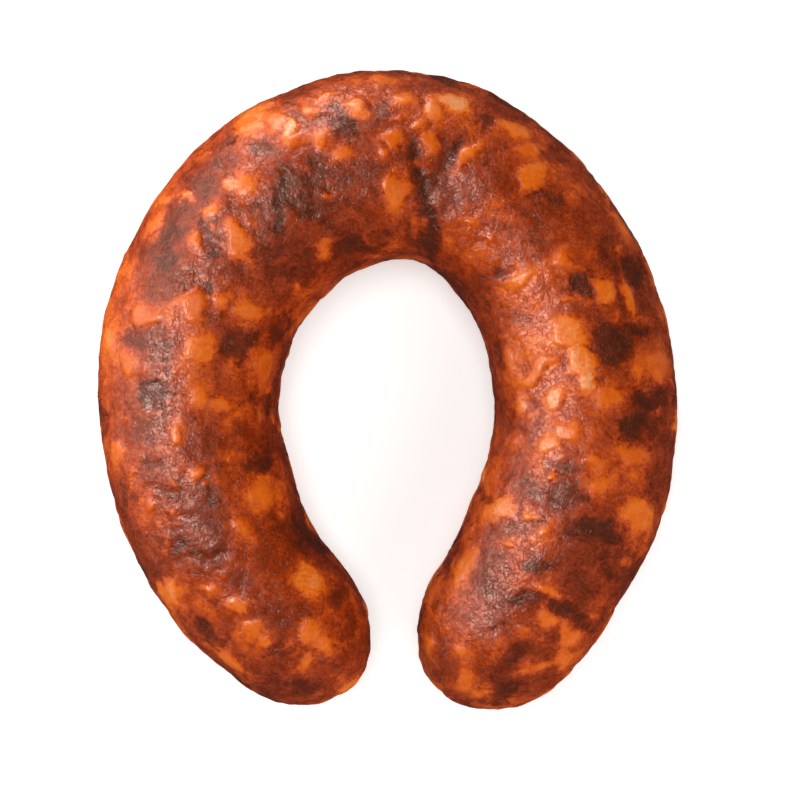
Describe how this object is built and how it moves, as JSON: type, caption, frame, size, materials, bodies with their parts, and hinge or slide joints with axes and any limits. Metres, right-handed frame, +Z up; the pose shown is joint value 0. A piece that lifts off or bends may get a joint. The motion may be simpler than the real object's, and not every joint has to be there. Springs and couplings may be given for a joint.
{
  "type": "cured sausage",
  "caption": "Horseshoe-shaped cured sausage with round ends, coarse red-brown meat and orange fat under a wrinkled casing.",
  "frame": {"origin": "on the floor under the middle of the ring's bounding box", "axes": "+Z up from the flattened underside, +Y from the open end towards the closed bend, +X to the right seen from above"},
  "size_m": [0.1104, 0.1217, 0.0342],
  "materials": {
    "casing": "semi-gloss wrinkled natural casing, red-brown meat and orange fat showing through"
  },
  "bodies": {
    "root": {"cured_sausage": "casing"}
  },
  "joints": []
}
